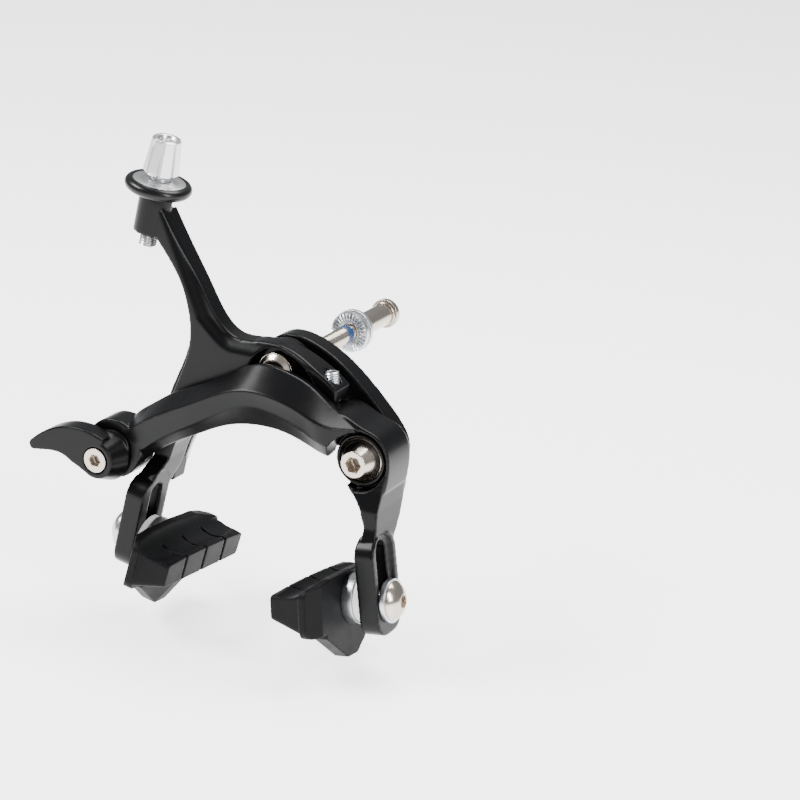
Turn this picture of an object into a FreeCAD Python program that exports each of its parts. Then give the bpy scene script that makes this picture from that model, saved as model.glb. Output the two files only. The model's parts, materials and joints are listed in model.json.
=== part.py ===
"""Dual-pivot side-pull rim brake caliper for a road bicycle fork, long reach, with recessed M6 fixing.

Frame (millimetres): the origin is on the centre bolt's axis, in the plane of the fork crown's front
face.  +Y runs rearward along the centre bolt, into the fork.  +Z is up.  +X is to the right for
someone standing in front of the bicycle and looking at the caliper.  The arms rest open.
"""
import FreeCAD, Part
import os
from math import cos, pi, radians, sin, tan

V = FreeCAD.Vector
Y_AXIS = V(0, 1, 0)
Z_AXIS = V(0, 0, 1)

# Layers along the centre bolt, from the fork forwards
FORK_WASHER_T = 4.0
BRIDGE_T = 7.6
THRUST_T = 0.6
ARM_T = 12.8
LAYER_GAP = 0.6
BAND_T = 12.4
BRIDGE_REAR = -FORK_WASHER_T
BRIDGE_FRONT = BRIDGE_REAR - BRIDGE_T
ARM_REAR = BRIDGE_FRONT - THRUST_T
ARM_FRONT = ARM_REAR - ARM_T
BAND_REAR = ARM_FRONT - LAYER_GAP
BAND_FRONT = BAND_REAR - BAND_T
POCKET_FLOOR = -20.2
HORN_REAR = -15.4

# Pivots and fasteners (radii and positions in the X-Z plane)
M6_R = 3.0
RUNNING = 0.05
BUSH_WALL = 1.0
SIDE_X, SIDE_Z = 35.5, -22.0
SPINDLE_X, SPINDLE_Z = -54.5, -34.8
SPINDLE_R = 6.8
ANCHOR_X, ANCHOR_Z = -56.6, -37.3
ANCHOR_R = 2.5
EYE_R = 10.4
EYE_FRONT = -35.0
EYE_REAR = -24.0
DRUM_FRONT = -42.7
DRUM_REAR = EYE_FRONT - 0.4
HUB_R = 9.6
RING_R = 8.8
RING_BORE_R = 7.8
RECESS_R = 9.8

# Legs and pads
RIGHT_LEAN, LEFT_LEAN = 9.0, 11.0
LEG_T = 7.0
LEG_HALF_DEPTH = 8.5
FOOT_DROP = 11.4
FOOT_ROUND = 6.5
PLATE_TOP = 22.5
PAD_Y = -28.6
RIGHT_PAD_X, RIGHT_PAD_Z = 45.9, -68.2
LEFT_PAD_X, LEFT_PAD_Z = -47.5, -66.0
SLOT_R = 3.25
SLOT_DOWN, SLOT_UP = 0.8, 17.2
CHANNEL_R = 5.6
CHANNEL_DEPTH = 1.3
PAD_TILT = 6.0

# Stack on the pad bolt, measured along it from the middle of the leg's plate, outwards positive
OUTER_X = LEG_T / 2
HEAD_X = OUTER_X + 2.0
HEAD_R = 6.7
DOME_H = 3.8
DOME_R = 8.2
WASHER_R = 7.4
INNER_X = -LEG_T / 2
DISH_X = INNER_X - 3.0
DISH_R = 14.0
DISH_WASHER_R = 8.0
SEAT_X = DISH_X - 3.3
KEEL_X = -15.1
FLANGE_X = -15.4
RIM_X = -26.7
INSERT_X = SEAT_X - 3.4
GROOVE = 6.0
BACK_ROUND = 3.2
BLOCK_ROUND = 1.4
SCOOP_R = 9.5

# Cable adjuster
ADJ_TOP = V(-47.9, -21.1, 52.7)
ADJ_LEAN = 10.2
M6_FINE_R = 3.0
DISC_R = 9.1
BOSS_R = 5.7
BOSS_H = 13.8
HOUSING_R = 2.6
HOUSING_DEPTH = 8.0
INNER_CABLE_R = 1.0

# Mounting hardware behind the fork crown
CROWN_DEPTH = 29.4
BOLT_END = 46.0
SHANK_END = 29.3
RELIEF_W = 0.8
NUT_END = 58.9
SLEEVE_R = 4.0
FLANGE_R = 5.2

# Centring screw
SCREW_TOP = V(19.8, -20.2, 3.6)
SCREW_LEAN = -8.0
SCREW_R = 2.5
SCREW_L = 10.6

SPRING_R = 1.0
SPRING_Y = -9.0


def cyl(x, z, r, y0, y1):
    """Cylinder along Y, from y0 to y1."""
    low, high = min(y0, y1), max(y0, y1)
    return Part.makeCylinder(r, high - low, V(x, low, z), Y_AXIS)


def cone(x, z, r0, r1, y0, y1):
    """Frustum along Y with radius r0 at y0 and r1 at y1, y0 below y1."""
    return Part.makeCone(r0, r1, y1 - y0, V(x, y0, z), Y_AXIS)


def box(x0, x1, y0, y1, z0, z1):
    return Part.makeBox(x1 - x0, y1 - y0, z1 - z0, V(x0, y0, z0))


def hex_prism(across_flats, length):
    """Hexagonal prism along +Z, standing on the origin."""
    r = across_flats / 2 / cos(pi / 6)
    corners = [V(r * cos(radians(60 * i)), r * sin(radians(60 * i)), 0) for i in range(7)]
    return Part.Face(Part.makePolygon(corners)).extrude(V(0, 0, length))


def along_y(shape, x, y, z):
    """Turn a shape made along +Z so that its +Z points forwards, to -Y, and put its origin at x, y, z."""
    out = shape.copy()
    out.Placement = FreeCAD.Placement(V(x, y, z), FreeCAD.Rotation(V(1, 0, 0), 90)).multiply(out.Placement)
    return out


def leaned(shape, base, lean):
    """Stand a shape made along +Z on base, leaned by lean degrees towards +X."""
    out = shape.copy()
    out.Placement = FreeCAD.Placement(base, FreeCAD.Rotation(Y_AXIS, lean)).multiply(out.Placement)
    return out


def spline(points):
    """Smooth edge in the X-Z plane through a few points."""
    curve = Part.BSplineCurve()
    curve.interpolate([V(x, 0, z) for x, z in points])
    return curve.toShape()


def plate(edges, y0, y1):
    """Plate between y0 and y1 whose outline is a closed chain of edges in the X-Z plane."""
    face = Part.Face(Part.Wire(Part.__sortEdges__(edges)))
    face.translate(V(0, y0, 0))
    return face.extrude(V(0, y1 - y0, 0))


def chain(*runs):
    """Edges of a closed outline: each run is a list of points, two for a straight edge, more for a
    smooth curve, and it starts where the run before it ends."""
    edges = []
    for run in runs:
        if len(run) == 2:
            (x0, z0), (x1, z1) = run
            edges.append(Part.LineSegment(V(x0, 0, z0), V(x1, 0, z1)).toShape())
        else:
            edges.append(spline(run))
    return edges


def section(points):
    return Part.makePolygon([V(*p) for p in points + points[:1]])


def level_box(z, x0, x1, y0, y1):
    """Level rectangle at height z, one station of a leg."""
    return section([(x0, y0, z), (x1, y0, z), (x1, y1, z), (x0, y1, z)])


def mirrored(shape):
    return shape.mirror(V(0, 0, 0), V(1, 0, 0))


# ---------------------------------------------------------------- arms

def leg_plate():
    """Slotted plate at the foot of the right arm, upright about the pad bolt, outer face towards +X."""
    half, deep, drop, r = LEG_T / 2, LEG_HALF_DEPTH, FOOT_DROP, FOOT_ROUND
    low, high = r - drop, PLATE_TOP - r
    slab = box(-half, half, -deep, deep, low, high)
    rounds = [shank_along_x(r, -half, half, y, z) for y in (r - deep, deep - r) for z in (low, high)]
    middle = box(-half, half, r - deep, deep - r, -drop, PLATE_TOP)
    return slab.fuse(rounds + [middle]).removeSplitter()


def shank_along_x(r, x0, x1, y=0.0, z=0.0):
    """Cylinder along X, from x0 to x1."""
    return Part.makeCylinder(r, x1 - x0, V(x0, y, z), V(1, 0, 0))


def slot_cut(r, x0, x1):
    """Upright round-ended slot along the pad bolt's travel."""
    ends = [shank_along_x(r, x0, x1, 0, z) for z in (-SLOT_DOWN, SLOT_UP)]
    middle = box(x0, x1, -r, r, -SLOT_DOWN, SLOT_UP)
    return ends[0].fuse(ends[1]).fuse(middle)


def pad_way():
    """Everything cut from a leg for its pad: the bolt's slot, a shallow channel in the outer face, and
    room for the washers over their travel on both faces."""
    half = LEG_T / 2
    slot = slot_cut(SLOT_R, -half - 1, half + 1)
    channel = slot_cut(CHANNEL_R, half - CHANNEL_DEPTH, half + 1)
    outer_room = slot_cut(WASHER_R + 0.4, half, half + 9)
    inner_room = slot_cut(DISH_WASHER_R + 0.4, -half - 9, -half)
    return slot.fuse([channel, outer_room, inner_room])


def on_right(shape):
    """Put a piece made about the pad bolt's axis (+X outwards) on the right arm."""
    return leaned(shape, V(RIGHT_PAD_X, PAD_Y, RIGHT_PAD_Z), -RIGHT_LEAN)


def on_left(shape):
    """The same for the left arm, with the piece mirrored."""
    return leaned(mirrored(shape), V(LEFT_PAD_X, PAD_Y, LEFT_PAD_Z), LEFT_LEAN)


def band():
    """Front bar of the side arm: it arches over the tyre from the cable anchor to the side pivot.
    Each station is an upright section: x, top edge, front crease, front face's y, lower crease and
    arch edge."""
    stations = [
        (-50.0, -23.6, -28.6, -35.0, -38.0, -43.0),
        (-44.0, -18.6, -23.6, -36.6, -33.4, -38.0),
        (-35.0, -12.4, -17.8, -37.6, -26.6, -30.8),
        (-24.0, -6.8, -12.0, -38.0, -20.2, -24.6),
        (-13.0, -0.8, -6.2, -38.0, -13.4, -19.2),
        (-3.0, 4.2, -3.0, -38.0, -9.0, -16.9),
        (8.0, 3.6, -3.4, -38.0, -9.8, -17.0),
        (17.0, 0.6, -5.8, -38.0, -12.6, -19.4),
        (24.0, -4.0, -8.6, -37.6, -16.0, -21.8),
        (29.0, -7.6, -10.2, -35.0, -17.0, -22.2),
        (34.5, -10.8, -11.8, -30.0, -13.6, -14.6),
    ]
    rings = []
    for x, top, crease, front, low, arch in stations:
        rings.append(section([
            (x, BAND_REAR, top - 1.0), (x, BAND_REAR + 0.3 * (front - BAND_REAR), top),
            (x, front, crease), (x, front + 0.2 * (BAND_REAR - front), low),
            (x, BAND_REAR + 0.4 * (front - BAND_REAR), arch), (x, BAND_REAR, arch + 1.2)]))
    return Part.makeLoft(rings, True, False)


def side_arm():
    """Arm on the side pivot: band, cable anchor eye, pivot hub, centring lug, leg and slotted plate."""
    eye = cyl(SPINDLE_X, SPINDLE_Z, EYE_R, EYE_FRONT, EYE_REAR)
    hub = plate(chain(
        [(17.6, -8.4), (23.0, -6.8), (29.0, -7.4), (35.5, -10.4), (42.0, -12.8), (45.6, -17.6),
         (46.4, -24.0), (45.6, -31.0)],
        [(45.6, -31.0), (37.4, -37.0)],
        [(37.4, -37.0), (31.6, -31.4), (28.8, -25.4), (27.2, -20.4), (23.6, -15.8), (17.6, -8.4)],
        ), ARM_FRONT - 3.4, ARM_REAR)
    behind_band = plate(chain(
        [(10.0, 0.0), (10.0, -24.0)],
        [(10.0, -24.0), (24.0, -24.0)],
        [(24.0, -24.0), (28.6, -9.0)],
        [(28.6, -9.0), (10.0, 0.0)]), ARM_REAR - 3.3, ARM_REAR + 1)
    leg = Part.makeLoft([
        level_box(-24.0, 31.4, 45.4, ARM_FRONT - 3.2, ARM_REAR - 0.2),
        level_box(-31.0, 33.4, 45.2, -30.0, -12.6),
        level_box(-37.0, 38.4, 45.0, -32.2, -12.8),
        level_box(-43.0, 40.6, 45.2, -32.8, -14.6),
        level_box(-48.6, 40.2, 45.6, -34.8, PAD_Y + LEG_HALF_DEPTH + 1.0),
        level_box(-54.0, 40.6, 46.4, PAD_Y - LEG_HALF_DEPTH + 1.0, PAD_Y + LEG_HALF_DEPTH - 0.2),
    ], True, True)
    tab = section([(41.0, -14.0, -28.0), (41.0, -10.3, -30.2), (41.0, -10.3, -33.6), (41.0, -14.0, -41.0)])
    tab = Part.Face(tab).extrude(V(3.6, 0, 0))
    solids = [eye, hub.cut(behind_band), leg, tab, on_right(leg_plate())]
    arm = band().fuse(solids).removeSplitter().cut(on_right(pad_way()))
    recess = cone(SIDE_X, SIDE_Z, RECESS_R + 0.4, RECESS_R, BAND_FRONT - 1, BAND_REAR)
    ring = thrust_ring(SIDE_X, SIDE_Z, RING_BORE_R, RING_R, BAND_REAR - 1.8, BAND_REAR + 0.5)
    bore = cyl(SIDE_X, SIDE_Z, M6_R + RUNNING + BUSH_WALL, ARM_REAR + 1, BAND_FRONT)
    spindle_bore = cyl(SPINDLE_X, SPINDLE_Z, SPINDLE_R + RUNNING, BAND_FRONT - 5, BAND_REAR + 5)
    return arm.cut(recess).fuse(ring).cut(bore).cut(spindle_bore)


def centre_arm():
    """Arm on the centre bolt: adjuster boss, horn, hub, centring extension, leg and slotted plate."""
    horn = plate(chain(
        [(-49.6, 42.6), (-45.4, 38.0), (-40.6, 32.2), (-36.4, 26.0), (-33.2, 18.0), (-31.6, 9.0),
         (-32.2, 1.0), (-35.2, -8.0), (-38.6, -17.0), (-41.0, -28.0)],
        [(-41.0, -28.0), (-34.6, -30.0)],
        [(-34.6, -30.0), (-27.0, -20.4), (-17.0, -13.6), (-6.0, -8.6)],
        [(-6.0, -8.6), (-2.0, 9.4)],
        [(-2.0, 9.4), (-9.0, 9.0), (-16.5, 9.4), (-22.8, 14.4), (-28.6, 23.4), (-36.2, 35.4),
         (-43.6, 47.8)],
        [(-43.6, 47.8), (-49.6, 42.6)]), ARM_FRONT, HORN_REAR)
    shoulder = plate(chain(
        [(-34.6, 12.0), (-34.0, 4.0), (-37.0, -6.0), (-41.0, -16.0), (-42.6, -28.0)],
        [(-42.6, -28.0), (-34.6, -30.0)],
        [(-34.6, -30.0), (-27.0, -20.4), (-17.0, -13.6), (-6.0, -8.6)],
        [(-6.0, -8.6), (-6.0, 7.0)],
        [(-6.0, 7.0), (-20.0, 8.0), (-30.0, 13.0), (-34.6, 12.0)]), ARM_FRONT + 4.0, ARM_REAR)
    hub = cyl(0, 0, HUB_R, POCKET_FLOOR, ARM_REAR)
    web = plate(chain(
        [(-6.0, 9.2), (4.0, 9.0), (14.0, 5.6), (24.4, -1.0)],
        [(24.4, -1.0), (23.6, -4.8)],
        [(23.6, -4.8), (16.6, -4.6), (7.0, -6.0)],
        [(7.0, -6.0), (-6.0, 9.2)]), POCKET_FLOOR, HORN_REAR)
    lip = plate(chain(
        [(-8.0, 9.2), (4.0, 9.0), (14.0, 5.6), (24.4, -1.0)],
        [(24.4, -1.0), (23.6, -4.8)],
        [(23.6, -4.8), (16.6, -4.6)],
        [(16.6, -4.6), (13.0, 3.2), (4.0, 7.2), (-4.0, 6.4), (-8.0, 2.0)],
        [(-8.0, 2.0), (-8.0, 9.2)]), ARM_FRONT, HORN_REAR)
    tip = plate(chain(
        [(15.0, 4.8), (24.4, -1.0)],
        [(24.4, -1.0), (23.8, -6.2)],
        [(23.8, -6.2), (17.2, -4.6)],
        [(17.2, -4.6), (15.0, 4.8)]), ARM_FRONT, HORN_REAR)
    leg = Part.makeLoft([
        level_box(-26.0, -40.6, -33.0, ARM_FRONT + 0.2, ARM_REAR - 0.2),
        level_box(-33.0, -43.0, -36.6, ARM_FRONT + 0.2, -12.6),
        level_box(-38.0, -44.6, -38.2, ARM_FRONT + 0.2, -13.2),
        level_box(-43.0, -46.2, -39.2, -31.0, -15.0),
        level_box(-48.6, -47.2, -40.6, -34.8, PAD_Y + LEG_HALF_DEPTH + 0.4),
        level_box(-54.0, -48.4, -41.8, PAD_Y - LEG_HALF_DEPTH + 1.0, PAD_Y + LEG_HALF_DEPTH - 0.2),
    ], True, True)
    boss = leaned(Part.makeCylinder(BOSS_R, BOSS_H), adjuster_point(-BOSS_H), ADJ_LEAN)
    arm = horn.fuse([shoulder, hub, web, lip, tip, leg, boss, on_left(leg_plate())]).removeSplitter()
    cap_pocket = cyl(0, 0, 8.2, POCKET_FLOOR, ARM_FRONT - 1)
    bore = cyl(0, 0, M6_R + RUNNING + BUSH_WALL, ARM_REAR + 1, ARM_FRONT - 1)
    adjuster_bore = leaned(Part.makeCylinder(M6_FINE_R + RUNNING, BOSS_H + 2), adjuster_point(-BOSS_H - 1),
                           ADJ_LEAN)
    screw_bore = leaned(Part.makeCylinder(SCREW_R + RUNNING, 14), screw_point(-11), SCREW_LEAN)
    arm = arm.cut(on_left(pad_way()))
    return arm.cut(cap_pocket).cut(bore).cut(adjuster_bore).cut(screw_bore)


def adjuster_point(h):
    """Point on the adjuster's axis, h above the top of the boss."""
    return ADJ_TOP + V(sin(radians(ADJ_LEAN)) * h, 0, cos(radians(ADJ_LEAN)) * h)


def screw_point(h):
    """Point on the centring screw's axis, h above the screw's top."""
    return SCREW_TOP + V(sin(radians(SCREW_LEAN)) * h, 0, cos(radians(SCREW_LEAN)) * h)


def bridge_plate():
    """Fixed plate against the fork washer: it carries the side pivot beside the centre bolt."""
    outline = plate(chain(
        [(-7.4, 7.4), (0.0, 10.2), (8.0, 8.8), (19.0, 3.4), (29.6, -5.2), (38.6, -14.4), (42.2, -21.0),
         (41.6, -26.4), (36.6, -29.8)],
        [(36.6, -29.8), (30.6, -28.2), (27.4, -22.0), (22.0, -14.6), (12.0, -10.8), (0.0, -10.4),
         (-7.4, -7.4), (-10.4, 0.0), (-7.4, 7.4)]), BRIDGE_FRONT, BRIDGE_REAR)
    centre_bore = cyl(0, 0, M6_R + RUNNING, BRIDGE_FRONT - 1, BRIDGE_REAR + 1)
    side_bore = cyl(SIDE_X, SIDE_Z, M6_R, BRIDGE_FRONT - 1, BRIDGE_REAR + 1)
    return outline.cut(centre_bore).cut(side_bore)


# ---------------------------------------------------------------- side pivot and centre pivot

def thrust_ring(x, z, r_in, r_out, y0, y1):
    return cyl(x, z, r_out, y0, y1).cut(cyl(x, z, r_in, y0 - 1, y1 + 1))


def bush(x, z, y0, y1):
    """Plain bearing sleeve pressed into an arm: the pivot bolt turns in it."""
    return thrust_ring(x, z, M6_R + RUNNING, M6_R + RUNNING + BUSH_WALL, y0, y1)


def side_pivot_bolt():
    """Conical-headed pivot bolt, screwed into the bridge plate."""
    base = BAND_REAR - 0.05
    head = cyl(SIDE_X, SIDE_Z, 7.5, base - 1.0, base)
    head = head.fuse(cone(SIDE_X, SIDE_Z, 4.4, 7.2, base - 6.8, base - 1.0))
    shank = cyl(SIDE_X, SIDE_Z, M6_R, base, BRIDGE_REAR)
    socket = along_y(hex_prism(5.0, 4.4), SIDE_X, base - 2.6, SIDE_Z)
    return head.fuse(shank).cut(socket).removeSplitter()


def centre_bolt():
    """Long M6 stud: cap nut in front, bare shank through the fork crown, end in the sleeve nut.
    Shallow grooves part the bare shank from the ends."""
    stud = cyl(0, 0, M6_R, POCKET_FLOOR - THRUST_T - 2.4, BOLT_END)
    for y in (-RELIEF_W, SHANK_END):
        stud = stud.cut(thrust_ring(0, 0, M6_R - 0.2, M6_R + 1, y, y + RELIEF_W))
    return stud


def centre_cap_nut():
    """Domed front nut with a flat rim on the centre bolt."""
    rear = POCKET_FLOOR - THRUST_T
    rim = cyl(0, 0, 6.5, rear - 1.8, rear)
    dome = cone(0, 0, 4.6, 6.1, rear - 3.2, rear - 1.8)
    bore = cyl(0, 0, M6_R, rear - 2.4, rear + 1)
    return rim.fuse(dome).cut(bore).removeSplitter()


# ---------------------------------------------------------------- mounting hardware

def tooth_end(r, angles, y, tip_y):
    """Triangle across one tooth at radius r."""
    return section([(r * cos(a), h, r * sin(a)) for a, h in zip(angles, (y, tip_y, y))])


def tooth_ring(y, r_in, r_out, height, count, rearward):
    """Radial V teeth on the face at y, pointing rearward (+1) or forward (-1)."""
    pitch = 2 * pi / count
    tip_y = y + rearward * height
    teeth = []
    for i in range(count):
        angles = [pitch * (i + k) for k in (0.06, 0.5, 0.94)]
        ends = [tooth_end(r, angles, y, tip_y) for r in (r_in, r_out)]
        teeth.append(Part.makeLoft(ends, True, True))
    return teeth


def front_serrated_washer():
    """Serrated washer between the bridge plate and the fork: its teeth bite the fork."""
    disc = thrust_ring(0, 0, M6_R + 0.15, 7.6, BRIDGE_REAR, -0.5)
    return disc.fuse(tooth_ring(-0.7, 4.6, 7.3, 0.7, 30, 1))


def rear_serrated_washer():
    """Serrated washer behind the fork crown, teeth forwards."""
    disc = thrust_ring(0, 0, M6_R + 0.15, 7.0, CROWN_DEPTH + 0.6, CROWN_DEPTH + 3.2)
    return disc.fuse(tooth_ring(CROWN_DEPTH + 0.8, 4.5, 6.8, 0.8, 30, -1))


def spacer_washer():
    """Domed spacer between the rear serrated washer and the sleeve nut."""
    front = CROWN_DEPTH + 3.2
    body = cyl(0, 0, 7.4, front, front + 1.8)
    nose = cone(0, 0, 7.0, 5.2, front + 1.8, front + 5.0)
    return body.fuse(nose).cut(cyl(0, 0, M6_R + 0.15, front - 1, front + 8)).removeSplitter()


def mounting_nut():
    """Recessed sleeve nut: an 8 mm sleeve with an M6 thread, a flange and a hexagon socket."""
    front = CROWN_DEPTH + 8.2
    sleeve = cyl(0, 0, SLEEVE_R, front, NUT_END - 2.2)
    flange = cyl(0, 0, FLANGE_R, NUT_END - 2.2, NUT_END)
    thread = cyl(0, 0, M6_R, front - 1, NUT_END - 9)
    socket = hex_prism(5.0, 10)
    socket.Placement = FreeCAD.Placement(V(0, NUT_END + 0.5, 0), FreeCAD.Rotation(V(1, 0, 0), 90))
    return sleeve.fuse(flange).cut(thread).cut(socket).removeSplitter()


# ---------------------------------------------------------------- quick release and cable anchor

def quick_release_lever():
    """Lever, conical drum and eccentric spindle in one piece: the spindle turns in the side arm's eye."""
    drum = cone(ANCHOR_X, ANCHOR_Z, 6.4, 9.2, DRUM_FRONT, DRUM_REAR)
    blade = plate(chain(
        [(-53.5, -29.6), (-60.0, -27.6), (-67.5, -27.4), (-75.5, -30.0), (-82.0, -34.6)],
        [(-82.0, -34.6), (-83.4, -36.6), (-82.2, -38.6)],
        [(-82.2, -38.6), (-76.6, -37.8), (-71.6, -37.6), (-67.6, -39.0), (-64.6, -41.6), (-62.2, -44.4)],
        [(-62.2, -44.4), (-53.5, -29.6)]), DRUM_FRONT, DRUM_REAR)
    spindle = cyl(SPINDLE_X, SPINDLE_Z, SPINDLE_R, DRUM_REAR, EYE_REAR + 0.4)
    head_seat = cyl(ANCHOR_X, ANCHOR_Z, 4.6, DRUM_FRONT - 1, DRUM_FRONT + 4.6)
    bore = cyl(ANCHOR_X, ANCHOR_Z, ANCHOR_R + 0.2, DRUM_FRONT, EYE_REAR + 2)
    return drum.fuse([blade, spindle]).removeSplitter().cut(head_seat).cut(bore)


def anchor_bolt():
    """M5 socket-head bolt through the lever's spindle: it squeezes the brake cable at the back."""
    head = cyl(ANCHOR_X, ANCHOR_Z, 4.25, DRUM_FRONT - 0.2, DRUM_FRONT + 4.6)
    shank = cyl(ANCHOR_X, ANCHOR_Z, ANCHOR_R, DRUM_FRONT + 4.6, EYE_REAR + 8.4)
    socket = along_y(hex_prism(4.0, 3.0), ANCHOR_X, DRUM_FRONT + 2.4, ANCHOR_Z)
    return head.fuse(shank).cut(socket).removeSplitter()


def cable_clamp_plate():
    """Square clamp plate behind the eye, with a groove for the brake cable beside the bolt."""
    rear = EYE_REAR + 2.4
    body = box(ANCHOR_X - 5.6, ANCHOR_X + 5.0, EYE_REAR + 0.4, rear, ANCHOR_Z - 5.0, ANCHOR_Z + 5.0)
    groove = Part.makeCylinder(0.7, 12, V(ANCHOR_X - 3.6, rear, ANCHOR_Z - 6))
    return body.cut(cyl(ANCHOR_X, ANCHOR_Z, ANCHOR_R, rear - 4, rear + 1)).cut(groove)


def anchor_nut():
    """Square flanged nut that pulls the cable against the clamp plate."""
    front = EYE_REAR + 2.4
    flange = cyl(ANCHOR_X, ANCHOR_Z, 5.6, front, front + 1.2)
    hexagon = along_y(hex_prism(8.0, 3.6), ANCHOR_X, front + 4.8, ANCHOR_Z)
    return flange.fuse(hexagon).cut(cyl(ANCHOR_X, ANCHOR_Z, ANCHOR_R, front - 1, front + 6)).removeSplitter()


# ---------------------------------------------------------------- cable adjuster

def adjuster_washer():
    """Thin washer between the adjuster's ring and the boss."""
    disc = Part.makeCylinder(8.0, 0.5).cut(Part.makeCylinder(M6_FINE_R + 0.1, 3, V(0, 0, -1)))
    return leaned(disc, adjuster_point(0.05), ADJ_LEAN)


def adjuster_grip_ring():
    """Rubber tyre of the adjuster's finger disc."""
    ring = Part.makeTorus(9.3, 2.05, V(0, 0, 2.65))
    return leaned(ring.cut(Part.makeCylinder(DISC_R, 6)), adjuster_point(0), ADJ_LEAN)


def adjuster_disc():
    """Metal finger disc keyed to the barrel."""
    disc = Part.makeCylinder(DISC_R, 3.9, V(0, 0, 0.65))
    crown = Part.makeCone(6.2, 4.6, 0.9, V(0, 0, 4.55))
    bore = Part.makeCylinder(M6_FINE_R, 8)
    return leaned(disc.fuse(crown).cut(bore).removeSplitter(), adjuster_point(0), ADJ_LEAN)


def adjuster_barrel():
    """Fluted barrel with a hollow threaded stem: the brake cable passes through it."""
    neck, top = 6.4, 19.5
    stem = Part.makeCylinder(M6_FINE_R - 0.02, 22.0, V(0, 0, -18.6))
    collar = Part.makeCylinder(3.4, neck - 5.5, V(0, 0, 5.5))
    cup = Part.makeCone(6.2, 4.9, top - neck - 1.2, V(0, 0, neck + 1.2))
    skirt = Part.makeCone(4.6, 6.2, 1.2, V(0, 0, neck))
    neck_rod = Part.makeCylinder(M6_FINE_R - 0.02, 4.0, V(0, 0, 2.0))
    body = stem.fuse([collar, skirt, cup, neck_rod])
    for i in range(8):
        flute = Part.makeCylinder(0.55, top, V(6.3, 0, neck - 1))
        flute.rotate(V(6.3, 0, neck - 1), Y_AXIS, -5.7)
        flute.rotate(V(0, 0, 0), Z_AXIS, 45 * i)
        body = body.cut(flute)
    seat = Part.makeCylinder(HOUSING_R, HOUSING_DEPTH + 1, V(0, 0, top - HOUSING_DEPTH))
    cable_way = Part.makeCylinder(INNER_CABLE_R, 60, V(0, 0, -30))
    return leaned(body.cut(seat).cut(cable_way).removeSplitter(), adjuster_point(0), ADJ_LEAN)


# ---------------------------------------------------------------- centring screw and return spring

def centring_screw():
    """Socket grub screw through the centre arm's extension: its tip bears on the side arm's lug."""
    shank = Part.makeCylinder(SCREW_R - 0.02, SCREW_L - 0.8, V(0, 0, -SCREW_L + 0.8))
    tip = Part.makeCone(1.7, SCREW_R - 0.02, 0.8, V(0, 0, -SCREW_L))
    socket = hex_prism(2.5, 2.6)
    socket.translate(V(0, 0, -2.2))
    return leaned(shank.fuse(tip).cut(socket).removeSplitter(), SCREW_TOP, SCREW_LEAN)


def spring_geometry():
    """Radius of the spring's arc under the side pivot's boss, then the centre and radius of its arc
    over the tyre, which is tangent to the first and curved the other way."""
    boss_r, arch_x, arch_top = 9.6, -3.0, -12.6
    run, drop = SIDE_X - arch_x, SIDE_Z - arch_top
    arch_r = (run ** 2 + drop ** 2 - boss_r ** 2) / (2 * (boss_r - drop))
    return boss_r, arch_x, arch_top - arch_r, arch_r


def return_spring(r=SPRING_R):
    """Bow of round wire behind the arms: it pushes both pads away from the rim."""
    boss_r, arch_x, arch_z, arch_r = spring_geometry()
    side, arch = V(SIDE_X, SPRING_Y, SIDE_Z), V(arch_x, SPRING_Y, arch_z)
    meet = arch + (side - arch).normalize() * arch_r
    meet_angle = V(meet.x - side.x, 0, meet.z - side.z)

    def on(centre, r, degrees):
        return centre + V(r * cos(radians(degrees)), 0, r * sin(radians(degrees)))

    under = Part.Arc(meet, on(side, boss_r, -100), on(side, boss_r, -36)).toShape()
    over = Part.Arc(on(arch, arch_r, 167), on(arch, arch_r, 100), meet).toShape()
    path = Part.Wire(Part.__sortEdges__([over, under]))
    start = on(arch, arch_r, 167)
    tangent = over.tangentAt(over.FirstParameter)
    profile = Part.Wire(Part.makeCircle(r, start, tangent))
    return path.makePipeShell([profile], True, False)


def spring_holder(arm):
    """Moulded holder behind the left leg: the spring's end lies in its groove."""
    block = Part.makeBox(5.4, 8.0, 14.0, V(-2.7, -5.6, 0))
    block = leaned(block.makeFillet(0.8, block.Edges), V(-44.6, SPRING_Y - 1.4, -49.5), LEFT_LEAN)
    spring_way = return_spring(SPRING_R + 0.3)
    return block.cut(arm).cut(spring_way)


# ---------------------------------------------------------------- pads

def pad_bolt():
    """M6 button-head bolt through the arm's slot into the pad's insert."""
    ball = Part.makeSphere(DOME_R, V(HEAD_X + DOME_H - DOME_R, 0, 0))
    dome = ball.common(shank_along_x(HEAD_R, HEAD_X, HEAD_X + DOME_H))
    shank = shank_along_x(M6_R, INSERT_X - 1.5, HEAD_X)
    socket = hex_prism(4.0, 4.0)
    socket.Placement = FreeCAD.Placement(V(HEAD_X + DOME_H - 2.4, 0, 0), FreeCAD.Rotation(Y_AXIS, 90))
    return dome.fuse(shank).cut(socket).removeSplitter()


def pad_washer(r, x0, x1):
    """Flat washer around the pad bolt."""
    return shank_along_x(r, x0, x1).cut(shank_along_x(M6_R + 0.1, x0 - 1, x1 + 1))


def outer_washer():
    return pad_washer(WASHER_R, OUTER_X + 0.05, HEAD_X)


def convex_washer():
    """White nylon washer with a spherical inner face."""
    rim = pad_washer(DISH_WASHER_R, DISH_X + 0.6, INNER_X - 0.05)
    ball = Part.makeSphere(DISH_R, V(DISH_X + DISH_R - 0.8, 0, 0))
    dome = ball.common(pad_washer(7.2, DISH_X - 1, DISH_X + 0.6))
    return rim.fuse(dome).removeSplitter()


def concave_washer():
    """Plated steel washer with a spherical seat for the nylon one."""
    seat = Part.makeSphere(DISH_R + 0.1, V(DISH_X + DISH_R - 0.8, 0, 0))
    return pad_washer(8.6, SEAT_X, DISH_X + 0.5).cut(seat)


def pad_room(clearance):
    """Room that the insert takes in the pad, with the given clearance around it."""
    x0, x1, y, z = INSERT_X - clearance, SEAT_X - 0.8, 7.0 + clearance, 5.0 + clearance
    return box(x0, x1, -y, y, -z, z)


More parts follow.
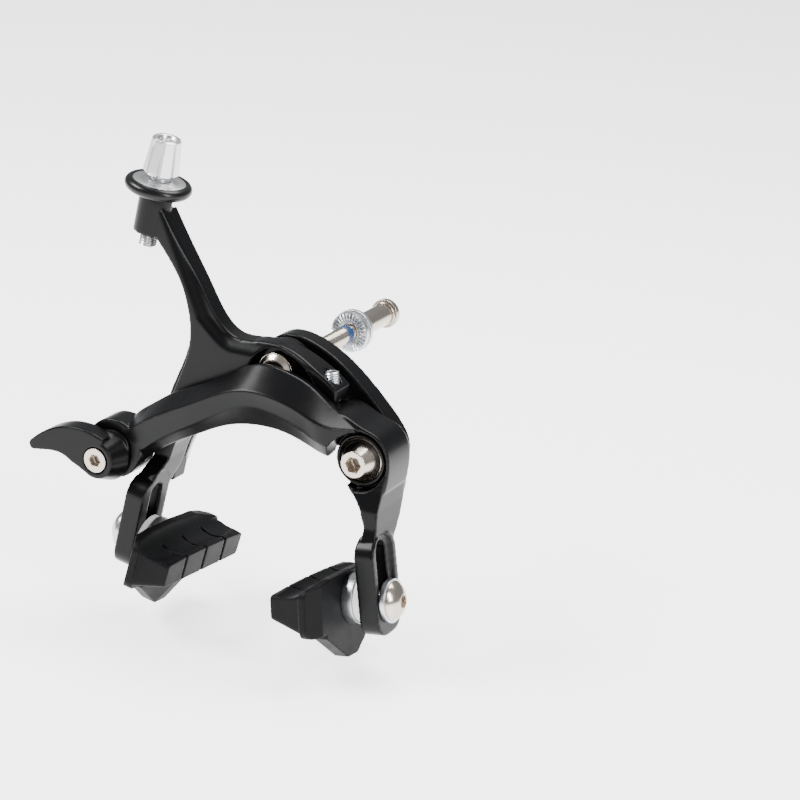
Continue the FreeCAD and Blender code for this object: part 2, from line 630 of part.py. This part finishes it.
def pad_insert():
    """Steel nut plate moulded into the pad."""
    return tilted(pad_room(0).cut(shank_along_x(M6_R + RUNNING, -40, 0)))


def tilted(shape):
    """Turn a piece about the pad bolt's axis so that its rear end sits lower, as the rim curves away."""
    out = shape.copy()
    out.rotate(V(0, 0, 0), V(1, 0, 0), -PAD_TILT)
    return out


def rounded(x, corners, r):
    """Outline at x through the corners (y, z), each corner rounded with radius r."""
    edges = []
    ends = []
    count = len(corners)
    for i, (y, z) in enumerate(corners):
        here = V(x, y, z)
        before = (V(x, *corners[i - 1]) - here).normalize()
        after = (V(x, *corners[(i + 1) % count]) - here).normalize()
        half = before.getAngle(after) / 2
        start, end = here + before * (r / tan(half)), here + after * (r / tan(half))
        crown = here + (before + after).normalize() * (r / sin(half) - r)
        edges.append(Part.Arc(start, crown, end).toShape())
        ends.append((start, end))
    for i in range(count):
        edges.append(Part.LineSegment(ends[i - 1][1], ends[i][0]).toShape())
    return Part.Wire(Part.__sortEdges__(edges))


def pad_keel():
    """Keel below the bolt: its lowest edge hangs under the pad's back."""
    outline = [(-21.0, -8.0), (-4.6, -19.4), (2.0, -19.4), (19.0, -7.0)]
    rings = [rounded(x, outline, 1.2) for x in (KEEL_X, SEAT_X - 0.05)]
    slope = rounded(RIM_X + 4.0, [(-17.0, -2.0), (-4.0, -4.4), (1.4, -4.4), (15.0, -2.0)], 0.6)
    return Part.makeLoft([slope] + rings, True, True)


def brake_pad():
    """Moulded pad for the right arm: a rim block with three water grooves on a broad, round-cornered
    back, and a keel below the bolt."""
    back = [(-27.4, -8.6), (26.6, -7.6), (27.8, 6.2), (14.0, 9.2), (0.0, 9.7), (-15.0, 9.4), (-27.4, 8.0)]
    root = [(-26.6, -7.0), (25.6, -6.6), (26.6, 5.4), (13.6, 7.2), (0.0, 7.6), (-14.6, 7.4), (-26.4, 6.4)]
    rim = [(-25.6, -2.9), (24.6, -2.9), (25.2, 5.2), (13.0, 5.8), (0.0, 6.0), (-14.0, 5.8), (-25.6, 5.2)]
    plate_rings = [rounded(x, back, BACK_ROUND) for x in (FLANGE_X, SEAT_X - 0.05)]
    block_rings = [rounded(RIM_X, rim, BLOCK_ROUND), rounded(FLANGE_X, root, BLOCK_ROUND)]
    body = Part.makeLoft(plate_rings, True, True).fuse([Part.makeLoft(block_rings, True, True), pad_keel()])
    for y in (-13.6, -0.4, 12.8):
        body = body.cut(box(RIM_X - 1, RIM_X + GROOVE, y - 0.6, y + 0.6, -20, 12))
        body = body.cut(box(RIM_X - 1, FLANGE_X - 0.8, y - 0.6, y + 0.6, 4.2, 12))
    for end in (-1, 1):
        corner = Part.makePolygon([V(SEAT_X + 1, end * 19.0, -30), V(SEAT_X + 1, end * 32, -30),
                                   V(FLANGE_X + 0.4, end * 32, -30), V(SEAT_X + 1, end * 19.0, -30)])
        body = body.cut(Part.Face(corner).extrude(V(0, 0, 60)))
    scoop = Part.makeCylinder(SCOOP_R, 54, V((RIM_X + FLANGE_X) / 2 + 0.4, -27, SCOOP_R + 4.9), Y_AXIS)
    room = pad_room(0).fuse(shank_along_x(M6_R + 0.1, INSERT_X - 2, 0))
    return tilted(body.cut(scoop).cut(room).removeSplitter())


def export(name, shape):
    solids = shape.Solids
    assert solids and all(s.isValid() for s in solids), name
    out = solids[0] if len(solids) == 1 else Part.makeCompound(solids)
    out.exportStep("parts/" + name + ".step")
    print(name, len(solids), round(sum(s.Volume for s in solids), 1))


def main():
    os.makedirs("parts", exist_ok=True)
    side, centre = side_arm(), centre_arm()
    nodes = {
        "bridge_plate": bridge_plate(),
        "centre_bolt": centre_bolt(),
        "centre_cap_nut": centre_cap_nut(),
        "centre_front_thrust_washer": thrust_ring(0, 0, M6_R + 0.1, 6.2, POCKET_FLOOR - THRUST_T,
                                                  POCKET_FLOOR),
        "centre_rear_thrust_washer": thrust_ring(0, 0, M6_R + 0.1, 8.6, ARM_REAR, BRIDGE_FRONT),
        "centre_pivot_bush": bush(0, 0, POCKET_FLOOR, ARM_REAR),
        "side_pivot_bolt": side_pivot_bolt(),
        "side_thrust_washer": thrust_ring(SIDE_X, SIDE_Z, M6_R + 0.1, 7.6, ARM_REAR, BRIDGE_FRONT),
        "side_pivot_bush": bush(SIDE_X, SIDE_Z, BAND_REAR + 0.1, ARM_REAR),
        "front_serrated_washer": front_serrated_washer(),
        "rear_serrated_washer": rear_serrated_washer(),
        "spacer_washer": spacer_washer(),
        "mounting_nut": mounting_nut(),
        "side_arm": side,
        "centre_arm": centre,
        "quick_release_lever": quick_release_lever(),
        "anchor_bolt": anchor_bolt(),
        "cable_clamp_plate": cable_clamp_plate(),
        "anchor_nut": anchor_nut(),
        "adjuster_washer": adjuster_washer(),
        "adjuster_grip_ring": adjuster_grip_ring(),
        "adjuster_disc": adjuster_disc(),
        "adjuster_barrel": adjuster_barrel(),
        "centring_screw": centring_screw(),
        "return_spring": return_spring(),
        "spring_holder": spring_holder(centre),
    }
    pieces = {"pad_bolt": pad_bolt(), "outer_washer": outer_washer(), "convex_washer": convex_washer(),
              "concave_washer": concave_washer(), "pad_insert": pad_insert(), "brake_pad": brake_pad()}
    for name, piece in pieces.items():
        nodes["right_" + name] = on_right(piece)
        nodes["left_" + name] = on_left(piece)
    for name, shape in nodes.items():
        export(name, shape)


main()
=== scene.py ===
import json
import math

import bmesh
import bpy
from mathutils import Matrix, Vector

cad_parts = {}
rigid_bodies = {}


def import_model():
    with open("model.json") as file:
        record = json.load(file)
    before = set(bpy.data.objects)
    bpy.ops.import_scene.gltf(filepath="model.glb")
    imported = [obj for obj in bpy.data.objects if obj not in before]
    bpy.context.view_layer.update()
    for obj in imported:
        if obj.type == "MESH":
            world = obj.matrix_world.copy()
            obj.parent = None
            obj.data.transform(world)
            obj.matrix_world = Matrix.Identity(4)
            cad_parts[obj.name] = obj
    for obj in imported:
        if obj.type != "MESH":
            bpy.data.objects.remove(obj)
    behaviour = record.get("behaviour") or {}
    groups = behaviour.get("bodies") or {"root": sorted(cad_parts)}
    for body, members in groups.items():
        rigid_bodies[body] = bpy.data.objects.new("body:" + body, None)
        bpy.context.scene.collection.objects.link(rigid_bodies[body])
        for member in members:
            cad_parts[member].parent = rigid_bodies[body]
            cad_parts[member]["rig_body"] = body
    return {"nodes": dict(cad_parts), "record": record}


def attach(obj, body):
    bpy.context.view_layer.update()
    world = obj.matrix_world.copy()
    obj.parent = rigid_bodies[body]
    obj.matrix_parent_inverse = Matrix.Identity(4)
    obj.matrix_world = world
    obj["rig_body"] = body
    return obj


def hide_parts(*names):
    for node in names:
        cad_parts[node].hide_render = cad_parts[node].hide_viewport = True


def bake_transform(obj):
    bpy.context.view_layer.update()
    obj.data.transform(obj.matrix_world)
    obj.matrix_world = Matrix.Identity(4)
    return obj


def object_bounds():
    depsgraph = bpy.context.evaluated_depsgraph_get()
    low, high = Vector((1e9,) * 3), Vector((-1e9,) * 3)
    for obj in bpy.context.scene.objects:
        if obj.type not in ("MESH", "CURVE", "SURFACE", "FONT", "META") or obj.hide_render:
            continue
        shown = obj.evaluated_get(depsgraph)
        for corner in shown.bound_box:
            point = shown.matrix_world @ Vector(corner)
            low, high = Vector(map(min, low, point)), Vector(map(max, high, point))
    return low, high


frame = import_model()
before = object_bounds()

# Sizes of pieces are in millimetres; MM turns them into Blender's metres.
MM = 0.001
FULL_TURN = 2 * math.pi
NODES = frame["nodes"]
SLOTS = {part["node"]: part["material_slot"] for part in frame["record"]["subparts"]}

# Camera in front of the brake, to its right and above it, with a long lens.  Its place is in metres.
LENS = 114.73
SENSOR = 36.0
CAMERA_PLACE = (0.38213, -0.72264, 0.27040)
CAMERA_RIGHT = (0.8918, 0.4491, 0.0549)
CAMERA_BACK = (0.4084, -0.8514, 0.3291)
NEAR_CLIP = 0.05

# Name, place and size in metres, and power in watts.
LIGHT_AIM = (0, -0.01, -0.01)
LIGHTS = (
    ("key", (-0.6, -0.35, 0.7), (0.5, 0.3), 15.0),
    ("side", (0.8, -0.35, 0.45), (0.22, 0.6), 9.0),
    ("top", (0.1, 0.35, 0.85), (0.8, 0.4), 16.0),
)
WORLD_COLOUR = (0.95, 0.97, 1.0, 1)
WORLD_STRENGTH = 0.42
FLOOR_SIZE = 8.0
FLOOR_GAP = 0.004

# Copies of the CAD nodes.
WELD_DISTANCE = 0.000004
FLAT_ANGLE = 0.6
SMOOTH_FACTOR = 0.5
BEVEL_SEGMENTS = 3
BEVEL_ANGLE = 28
BEVEL_SHADE_ANGLE = 32

# The horn's crease, in X and Z: it bends at the knee, and its slopes are in +X for each millimetre down.
CREASE_KNEE = (-29.7, 14.0)
CREASE_SLOPE_ABOVE = 0.46
CREASE_SLOPE_BELOW = 1.1
FACET_REAR_Y = -19.5
FACET_DEPTH = 2.6

# The quick-release lever's conical drum.
DRUM_X, DRUM_Z = -56.6, -37.3
DRUM_FRONT_Y, DRUM_DEPTH = -42.7, 7.3
DRUM_R_FRONT, DRUM_R_REAR = 6.4, 9.2
BLADE_END_X = -67.0

# The return spring's wire, in the plane Y = SPRING_Y.
SPRING_Y = -9.0
SPRING_R = 1.0
SPRING_SIDES = 20
SIDE_PIVOT = (35.5, -22.0)
BOSS_R = 9.6
ARCH_TOP = (-3.0, -12.6)
LEFT_END_ANGLE = 167
RIGHT_END_ANGLE = -36

# The centre stud and the threadlock on it: (Y, radius) of the patch.
STUD_R = 3.0
STUD_FRONT, STUD_REAR = -23.0, 46.0
STUD_PITCH = 1.0
STUD_THREAD_DEPTH = 0.28
STUD_CHAMFER = 0.6
STUD_SIDES = 48
ROWS_PER_THREAD = 10
THREADLOCK_PROFILE = ((24.6, 3.0), (24.9, 3.14), (27.9, 3.14), (28.3, 3.0))

# The adjuster and the centring screw stand on these points, each leaned towards +X.
ADJUSTER_TOP = Vector((-47.9, -21.1, 52.7))
ADJUSTER_LEAN = math.radians(10.2)
SCREW_TOP = Vector((19.8, -20.2, 3.6))
SCREW_LEAN = math.radians(-8.0)
FINE_PITCH = 0.8
FLUTES = 8
BARREL_SIDES = 32 * FLUTES
GROOVE_HALF_WIDTH, GROOVE_EDGE = 0.28, 0.3
FACET_SWELL = 0.15
DISC_SIDES = 96
SCREW_SIDES = 72
SCREW_START = -10.3

# (height, radius) round the finger disc: flat face, a low crown round the barrel's neck, and its bore.
DISC_PROFILE = (
    (0.65, 3.0), (0.65, 8.9), (0.8, 9.1), (4.2, 9.1), (4.45, 8.95), (4.55, 8.7), (4.55, 6.7), (4.7, 6.3),
    (5.1, 5.4), (5.4, 4.7), (5.45, 4.5), (5.45, 3.0),
)

# Node and voxel size.
FORGED_HARDWARE = (
    ("side_pivot_bolt", 0.15), ("anchor_bolt", 0.13), ("centre_cap_nut", 0.14), ("mounting_nut", 0.16),
    ("anchor_nut", 0.14), ("spring_holder", 0.2), ("left_pad_bolt", 0.15), ("right_pad_bolt", 0.15),
)
# Node and bevel width.
BEVELLED_HARDWARE = (
    ("spacer_washer", 0.3), ("front_serrated_washer", 0.08), ("rear_serrated_washer", 0.08),
    ("cable_clamp_plate", 0.3), ("left_outer_washer", 0.25), ("right_outer_washer", 0.25),
    ("left_convex_washer", 0.2), ("right_convex_washer", 0.2), ("left_concave_washer", 0.25),
    ("right_concave_washer", 0.25),
)


# ------------------------------------------------------------------ camera, light and floor

def add_camera():
    data = bpy.data.cameras.new("camera")
    data.lens = LENS
    data.sensor_width = SENSOR
    data.clip_start = NEAR_CLIP
    camera = bpy.data.objects.new("camera", data)
    bpy.context.scene.collection.objects.link(camera)
    back = Vector(CAMERA_BACK).normalized()
    right = Vector(CAMERA_RIGHT)
    right = (right - right.dot(back) * back).normalized()
    up = back.cross(right)
    axes = Matrix((right, up, back)).transposed().to_4x4()
    camera.matrix_world = Matrix.Translation(CAMERA_PLACE) @ axes
    bpy.context.scene.camera = camera


def area_light(name, place, size, power):
    data = bpy.data.lights.new(name, "AREA")
    data.shape = "RECTANGLE"
    data.size, data.size_y = size
    data.energy = power
    light = bpy.data.objects.new(name, data)
    bpy.context.scene.collection.objects.link(light)
    light.location = Vector(place)
    light.rotation_euler = (Vector(LIGHT_AIM) - Vector(place)).to_track_quat("-Z", "Y").to_euler()


def add_surroundings():
    world = bpy.data.worlds.new("studio")
    bpy.context.scene.world = world
    world.use_nodes = True
    background = world.node_tree.nodes["Background"]
    background.inputs["Color"].default_value = WORLD_COLOUR
    background.inputs["Strength"].default_value = WORLD_STRENGTH
    for name, place, size, power in LIGHTS:
        area_light(name, place, size, power)
    bpy.ops.mesh.primitive_plane_add(size=FLOOR_SIZE, location=(0, 0, before[0][2] - FLOOR_GAP))
    floor = bpy.context.object
    floor.name = "studio_floor"
    floor.data.materials.append(MATERIALS["floor"])


# ------------------------------------------------------------------ materials

def noise_texture(tree, scale, detail):
    """Noise in the piece's own coordinates."""
    place = tree.nodes.new("ShaderNodeTexCoord")
    noise = tree.nodes.new("ShaderNodeTexNoise")
    noise.inputs["Scale"].default_value = scale
    noise.inputs["Detail"].default_value = detail
    tree.links.new(place.outputs["Object"], noise.inputs["Vector"])
    return noise.outputs["Fac"]


def material(name, colour, metallic=0.0, roughness=0.5, bump=0.0, grain=3000.0, wear=0.0, specular=0.5,
             glow=0.0):
    """Principled surface with a fine grain: bump is its height in metres, wear varies the roughness."""
    m = bpy.data.materials.new(name)
    m.use_nodes = True
    tree = m.node_tree
    surface = tree.nodes["Principled BSDF"]
    surface.inputs["Base Color"].default_value = (*colour, 1)
    surface.inputs["Metallic"].default_value = metallic
    surface.inputs["Roughness"].default_value = roughness
    surface.inputs["Specular IOR Level"].default_value = specular
    surface.inputs["Emission Color"].default_value = (1, 1, 1, 1)
    surface.inputs["Emission Strength"].default_value = glow
    if bump:
        height = tree.nodes.new("ShaderNodeBump")
        height.inputs["Strength"].default_value = 0.6
        height.inputs["Distance"].default_value = bump
        tree.links.new(noise_texture(tree, grain, 3.0), height.inputs["Height"])
        tree.links.new(height.outputs["Normal"], surface.inputs["Normal"])
    if wear:
        spread = tree.nodes.new("ShaderNodeMapRange")
        spread.inputs["To Min"].default_value = max(0.02, roughness - wear)
        spread.inputs["To Max"].default_value = min(1.0, roughness + wear)
        tree.links.new(noise_texture(tree, 160.0, 4.0), spread.inputs["Value"])
        tree.links.new(spread.outputs["Result"], surface.inputs["Roughness"])
    return m


MATERIALS = {
    "floor": material("floor", (0.93, 0.93, 0.93), roughness=0.3, specular=0.3, glow=2.2),
    "black_anodised": material("black_anodised", (0.0015, 0.0015, 0.0018), roughness=0.3, bump=0.000006,
                               grain=2600.0, wear=0.04, specular=0.15),
    "plated_steel": material("plated_steel", (0.50, 0.44, 0.38), 1.0, 0.2, wear=0.05),
    "zinc_steel": material("zinc_steel", (0.50, 0.52, 0.54), 1.0, 0.3, bump=0.00001, grain=1800.0, wear=0.1),
    "spring_steel": material("spring_steel", (0.62, 0.62, 0.62), 1.0, 0.28, wear=0.06),
    "polished_aluminium": material("polished_aluminium", (0.66, 0.66, 0.67), 1.0, 0.3, wear=0.05),
    "white_nylon": material("white_nylon", (0.86, 0.86, 0.84), roughness=0.42, wear=0.05),
    "bronze": material("bronze", (0.6, 0.43, 0.22), 1.0, 0.35, wear=0.08),
    "black_rubber": material("black_rubber", (0.003, 0.003, 0.003), roughness=0.3, wear=0.06, specular=0.25),
    "pad_rubber": material("pad_rubber", (0.0025, 0.0025, 0.003), roughness=0.5, bump=0.00003, grain=1500.0,
                           wear=0.1, specular=0.1),
    "black_plastic": material("black_plastic", (0.004, 0.004, 0.004), roughness=0.45, wear=0.05,
                              specular=0.2),
    "threadlock": material("threadlock", (0.002, 0.03, 0.1), roughness=0.4, bump=0.00005, grain=900.0),
}


def paint_frame():
    for name, node in NODES.items():
        node.data.materials.clear()
        node.data.materials.append(MATERIALS[SLOTS[name]])


# ------------------------------------------------------------------ helpers

def body_of(node):
    return NODES[node]["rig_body"]


def finish_piece(piece, body, slot, *replaced):
    piece.data.materials.clear()
    piece.data.materials.append(MATERIALS[slot])
    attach(piece, body)
    if replaced:
        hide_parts(*replaced)
    return piece


def shade_smooth(piece, angle=None):
    """Smooth shading; with an angle in degrees, sharper edges than that stay sharp."""
    for face in piece.data.polygons:
        face.use_smooth = True
    if angle:
        piece.data.set_sharp_from_angle(angle=math.radians(angle))


def copy_of(node, name):
    """A new object with the CAD node's mesh, its split corners joined again."""
    mesh = NODES[node].data.copy()
    piece = bpy.data.objects.new(name, mesh)
    bpy.context.scene.collection.objects.link(piece)
    work = bmesh.new()
    work.from_mesh(mesh)
    bmesh.ops.remove_doubles(work, verts=work.verts, dist=WELD_DISTANCE)
    work.to_mesh(mesh)
    work.free()
    return piece


def apply_modifiers(piece):
    bpy.context.view_layer.update()
    graph = bpy.context.evaluated_depsgraph_get()
    mesh = bpy.data.meshes.new_from_object(piece.evaluated_get(graph))
    piece.modifiers.clear()
    piece.data = mesh


def bevelled(node, width):
    """The CAD node with its sharp edges rounded."""
    piece = copy_of(node, node + "_softened")
    work = bmesh.new()
    work.from_mesh(piece.data)
    bmesh.ops.dissolve_limit(work, angle_limit=math.radians(FLAT_ANGLE), verts=work.verts, edges=work.edges)
    work.to_mesh(piece.data)
    work.free()
    bevel = piece.modifiers.new("bevel", "BEVEL")
    bevel.width = width * MM
    bevel.segments = BEVEL_SEGMENTS
    bevel.limit_method = "ANGLE"
    bevel.angle_limit = math.radians(BEVEL_ANGLE)
    bevel.use_clamp_overlap = True
    bevel.harden_normals = False
    apply_modifiers(piece)
    shade_smooth(piece, BEVEL_SHADE_ANGLE)
    finish_piece(piece, body_of(node), SLOTS[node], node)


def forged(node, voxel, rounds, sculpt=None):
    """The CAD node as a forging: remeshed finely, shaped by sculpt, then smoothed so that edges are soft."""
    piece = copy_of(node, node + "_forged")
    remesh = piece.modifiers.new("remesh", "REMESH")
    remesh.mode = "VOXEL"
    remesh.voxel_size = voxel * MM
    apply_modifiers(piece)
    if sculpt:
        for v in piece.data.vertices:
            v.co = sculpt(v.co / MM) * MM
    even = piece.modifiers.new("smooth", "SMOOTH")
    even.factor = SMOOTH_FACTOR
    even.iterations = rounds
    apply_modifiers(piece)
    shade_smooth(piece)
    return finish_piece(piece, body_of(node), SLOTS[node], node)


def tube_rows(name, rows, ring=False):
    """Skin over rows of points, all rows closed loops of one length.  The ends are capped, or with ring
    the last row is joined to the first."""
    n = len(rows[0])
    faces = []
    for i in range(len(rows) if ring else len(rows) - 1):
        m = (i + 1) % len(rows)
        for j in range(n):
            k = (j + 1) % n
            faces.append((i * n + j, i * n + k, m * n + k, m * n + j))
    if not ring:
        faces.append(tuple(reversed(range(n))))
        faces.append(tuple(range((len(rows) - 1) * n, len(rows) * n)))
    mesh = bpy.data.meshes.new(name)
    mesh.from_pydata([tuple(p) for row in rows for p in row], [], faces)
    mesh.validate()
    piece = bpy.data.objects.new(name, mesh)
    bpy.context.scene.collection.objects.link(piece)
    return piece


def turned_row(h, radius, sides):
    """Closed row of points round Z at height h.  radius gives the distance from Z at a share of a turn."""
    row = []
    for j in range(sides):
        turn = j / sides
        r = radius(turn)
        row.append((r * math.cos(FULL_TURN * turn) * MM, r * math.sin(FULL_TURN * turn) * MM, h * MM))
    return row


def circle_row(h, r, sides):
    return turned_row(h, lambda turn: r, sides)


def thread_fall(h, turn, pitch):
    """How far a helical thread has fallen from its crest, 0, to its root, 1."""
    return abs((h / pitch - turn) % 1.0 - 0.5) * 2


def leaned_to(base, lean):
    """Matrix that stands a piece made along +Z on base, leaned towards +X."""
    return Matrix.Translation(base * MM) @ Matrix.Rotation(lean, 4, "Y")


def clamp01(t):
    return max(0.0, min(1.0, t))


def ease(t):
    t = clamp01(t)
    return t * t * (3 - 2 * t)


# ------------------------------------------------------------------ the arms and pads

def shape_centre_arm(p):
    """Slopes the horn's outer side back from a crease that runs down it from the boss to the hub."""
    x, y, z = p
    slope = CREASE_SLOPE_ABOVE if z > CREASE_KNEE[1] else CREASE_SLOPE_BELOW
    crease_x = CREASE_KNEE[0] + (CREASE_KNEE[1] - z) * slope
    if z > 2 and y < FACET_REAR_Y and x > crease_x:
        share = ease((x - crease_x) / 5.0) * ease((z - 4.0) / 6.0) * ease((FACET_REAR_Y - y) / 3.0)
        y += FACET_DEPTH * share
    return Vector((x, y, z))


def shape_lever(p):
    """Runs the blade's lower edge smoothly into the conical drum."""
    x, y, z = p
    dx, dz = x - DRUM_X, z - DRUM_Z
    away = math.hypot(dx, dz)
    r = DRUM_R_FRONT + (DRUM_R_REAR - DRUM_R_FRONT) * clamp01((y - DRUM_FRONT_Y) / DRUM_DEPTH)
    if dz < 0 and y < DRUM_FRONT_Y + DRUM_DEPTH and away > r:
        share = ease((x - BLADE_END_X) / 5.0) * ease(-dz / 2.0)
        scale = 1 + share * (r / away - 1)
        x, z = DRUM_X + dx * scale, DRUM_Z + dz * scale
    return Vector((x, y, z))


def make_arms():
    forged("side_arm", 0.42, 7)
    forged("centre_arm", 0.42, 6, shape_centre_arm)
    forged("bridge_plate", 0.45, 6)
    forged("quick_release_lever", 0.32, 7, shape_lever)


def make_pads():
    for side in ("left", "right"):
        forged(side + "_brake_pad", 0.3, 3)


# ------------------------------------------------------------------ spring

def arc(centre, r, first, last, steps):
    """Points round a centre in the spring's plane, from one angle to another in degrees."""
    points = []
    for i in range(steps + 1):
        a = math.radians(first + (last - first) * i / steps)
        points.append(Vector((centre[0] + r * math.cos(a), SPRING_Y, centre[1] + r * math.sin(a))))
    return points


def spring_wire(name, path):
    """Round wire of spring steel along the path."""
    rows = []
    for i, p in enumerate(path):
        along = (path[min(i + 1, len(path) - 1)] - path[max(i - 1, 0)]).normalized()
        side = Vector((0, 1, 0))
        out = along.cross(side)
        angles = [FULL_TURN * j / SPRING_SIDES for j in range(SPRING_SIDES)]
        rows.append([(p + SPRING_R * (math.cos(a) * side + math.sin(a) * out)) * MM for a in angles])
    wire = tube_rows(name, rows)
    shade_smooth(wire)
    wire.data.materials.append(MATERIALS["spring_steel"])
    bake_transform(wire)
    return wire


def make_spring():
    """A bow over the bridge: its right half runs on round the side pivot's boss, tangent to the arch."""
    run, drop = SIDE_PIVOT[0] - ARCH_TOP[0], SIDE_PIVOT[1] - ARCH_TOP[1]
    arch_r = (run ** 2 + drop ** 2 - BOSS_R ** 2) / (2 * (BOSS_R - drop))
    arch = (ARCH_TOP[0], ARCH_TOP[1] - arch_r)
    meet = math.degrees(math.atan2(SIDE_PIVOT[1] - arch[1], SIDE_PIVOT[0] - arch[0]))
    left = arc(arch, arch_r, 90, LEFT_END_ANGLE, 60)
    right = arc(arch, arch_r, 90, meet, 40)
    round_boss = arc(SIDE_PIVOT, BOSS_R, meet - 180, RIGHT_END_ANGLE, 40)[1:]
    half = spring_wire("return_spring_left", left)
    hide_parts("return_spring")
    spring_wire("return_spring_right", right + round_boss)


# ------------------------------------------------------------------ small pieces

def make_centre_stud():
    """M6 stud with a real helical thread, chamfered at both ends."""
    count = int((STUD_REAR - STUD_FRONT) / STUD_PITCH * ROWS_PER_THREAD)

    def stud_row(z):
        chamfer = STUD_R - STUD_CHAMFER + min(z - STUD_FRONT, STUD_REAR - z)
        return turned_row(
            z, lambda turn: min(STUD_R - STUD_THREAD_DEPTH * thread_fall(z, turn, STUD_PITCH), chamfer),
            STUD_SIDES)

    rows = [stud_row(STUD_FRONT + (STUD_REAR - STUD_FRONT) * i / count) for i in range(count + 1)]
    stud = tube_rows("centre_bolt_thread", rows)
    stud.data.transform(Vector((0, 1, 0)).to_track_quat("Z", "X").to_matrix().to_4x4())
    shade_smooth(stud)
    finish_piece(stud, "mount", "plated_steel", "centre_bolt")


def make_threadlock():
    rows = []
    for y, r in THREADLOCK_PROFILE:
        angles = [FULL_TURN * j / STUD_SIDES for j in range(STUD_SIDES)]
        rows.append([(r * math.cos(a) * MM, y * MM, r * math.sin(a) * MM) for a in angles])
    patch = tube_rows("threadlock_patch", rows)
    shade_smooth(patch)
    finish_piece(patch, "mount", "threadlock")


def barrel_row(h, r, flute, thread):
    """Row of the barrel: flute is the depth of the grooves between its facets, thread the thread's depth."""
    def radius(turn):
        out = r
        if flute:
            facet = ((turn * FLUTES + 0.5) % 1.0 - 0.5) * FULL_TURN / FLUTES
            from_groove = (math.pi / FLUTES - abs(facet)) * r
            out = r * math.cos(math.pi / FLUTES) / math.cos(facet) + FACET_SWELL
            out -= flute * (1 - ease((from_groove - GROOVE_HALF_WIDTH) / GROOVE_EDGE))
        return out - thread * thread_fall(h, turn, FINE_PITCH)

    return turned_row(h, radius, BARREL_SIDES)


def make_adjuster_barrel():
    """Fluted cup on a hollow threaded stem, as one skin from the stem's end up, over the rim and down
    through the housing seat and the cable way."""
    rows = [barrel_row(h, r, 0.0, 0.0) for h, r in ((-18.6, 1.3), (-18.6, 2.4))]
    rows.append(barrel_row(-18.4, 3.0, 0.0, 0.9))
    rows += [barrel_row(-18.4 + 0.1 * i, 3.0, 0.0, 0.45) for i in range(1, 57)]
    neck = ((-12.0, 2.9), (5.4, 2.9), (5.5, 3.4), (6.3, 3.4), (6.35, 4.2))
    rows += [barrel_row(h, r, 0.0, 0.0) for h, r in neck]
    foot = ((6.5, 4.8, 0.3), (6.9, 5.4, 0.7), (7.3, 5.9, 0.9), (7.5, 6.12, 1.0), (7.8, 6.18, 1.0))
    rows += [barrel_row(h, r, flute, 0.0) for h, r, flute in foot]
    for i in range(13):
        rise = i / 12
        rows.append(barrel_row(8.2 + 10.6 * rise, 6.15 - 1.17 * rise, 1.0 - 0.2 * rise, 0.0))
    rim = ((19.1, 4.93, 0.75), (19.35, 4.8, 0.6), (19.48, 4.6, 0.4))
    rows += [barrel_row(h, r, flute, 0.0) for h, r, flute in rim]
    housing_seat = ((19.5, 4.2), (19.5, 3.5), (19.4, 3.2), (18.6, 2.7), (18.4, 2.6), (11.6, 2.6), (11.5, 2.5))
    cable_way = ((11.4, 1.0), (-18.3, 1.0))
    rows += [barrel_row(h, r, 0.0, 0.0) for h, r in housing_seat + cable_way]
    barrel = tube_rows("adjuster_barrel_fluted", rows, ring=True)
    barrel.data.transform(leaned_to(ADJUSTER_TOP, ADJUSTER_LEAN))
    shade_smooth(barrel, 38)
    finish_piece(barrel, "adjuster", "polished_aluminium", "adjuster_barrel")


def make_adjuster_disc():
    rows = [circle_row(h, r, DISC_SIDES) for h, r in DISC_PROFILE]
    disc = tube_rows("adjuster_disc_turned", rows, ring=True)
    disc.data.transform(leaned_to(ADJUSTER_TOP, ADJUSTER_LEAN))
    shade_smooth(disc, 30)
    finish_piece(disc, "adjuster", "polished_aluminium", "adjuster_disc")


def screw_thread_row(h):
    tip = 1.9 + (h - SCREW_START) * 0.8
    return turned_row(h, lambda turn: min(2.46 - 0.38 * thread_fall(h, turn, FINE_PITCH), tip), SCREW_SIDES)


def hexagon_row(h, corner):
    """Hexagon round Z, corner being the distance of its corners."""
    def radius(turn):
        off = (FULL_TURN * turn + math.pi / 6) % (math.pi / 3) - math.pi / 6
        from_flat = off + (math.pi / 6 if off < 0 else -math.pi / 6)
        return corner * math.cos(math.pi / 6) / math.cos(from_flat)

    return turned_row(h, radius, SCREW_SIDES)


def make_centring_screw():
    """Grub screw with a real thread, a rounded rim and a hexagon socket."""
    rows = [circle_row(-10.6, 1.6, SCREW_SIDES)]
    rows += [screw_thread_row(SCREW_START + 0.1 * i) for i in range(101)]
    rows += [circle_row(h, r, SCREW_SIDES) for h, r in ((-0.1, 2.05), (0.0, 1.85), (-0.02, 1.55))]
    rows += [hexagon_row(h, corner) for h, corner in ((-0.15, 1.44), (-2.2, 1.4))]
    screw = tube_rows("centring_screw_threaded", rows)
    screw.data.transform(leaned_to(SCREW_TOP, SCREW_LEAN))
    shade_smooth(screw, 35)
    finish_piece(screw, "centring_screw", "zinc_steel", "centring_screw")


def make_small_pieces():
    for node, voxel in FORGED_HARDWARE:
        forged(node, voxel, 3)
    for node, width in BEVELLED_HARDWARE:
        bevelled(node, width)


paint_frame()
add_camera()
add_surroundings()
make_arms()
make_pads()
make_spring()
make_centre_stud()
make_threadlock()
make_adjuster_barrel()
make_adjuster_disc()
make_centring_screw()
make_small_pieces()
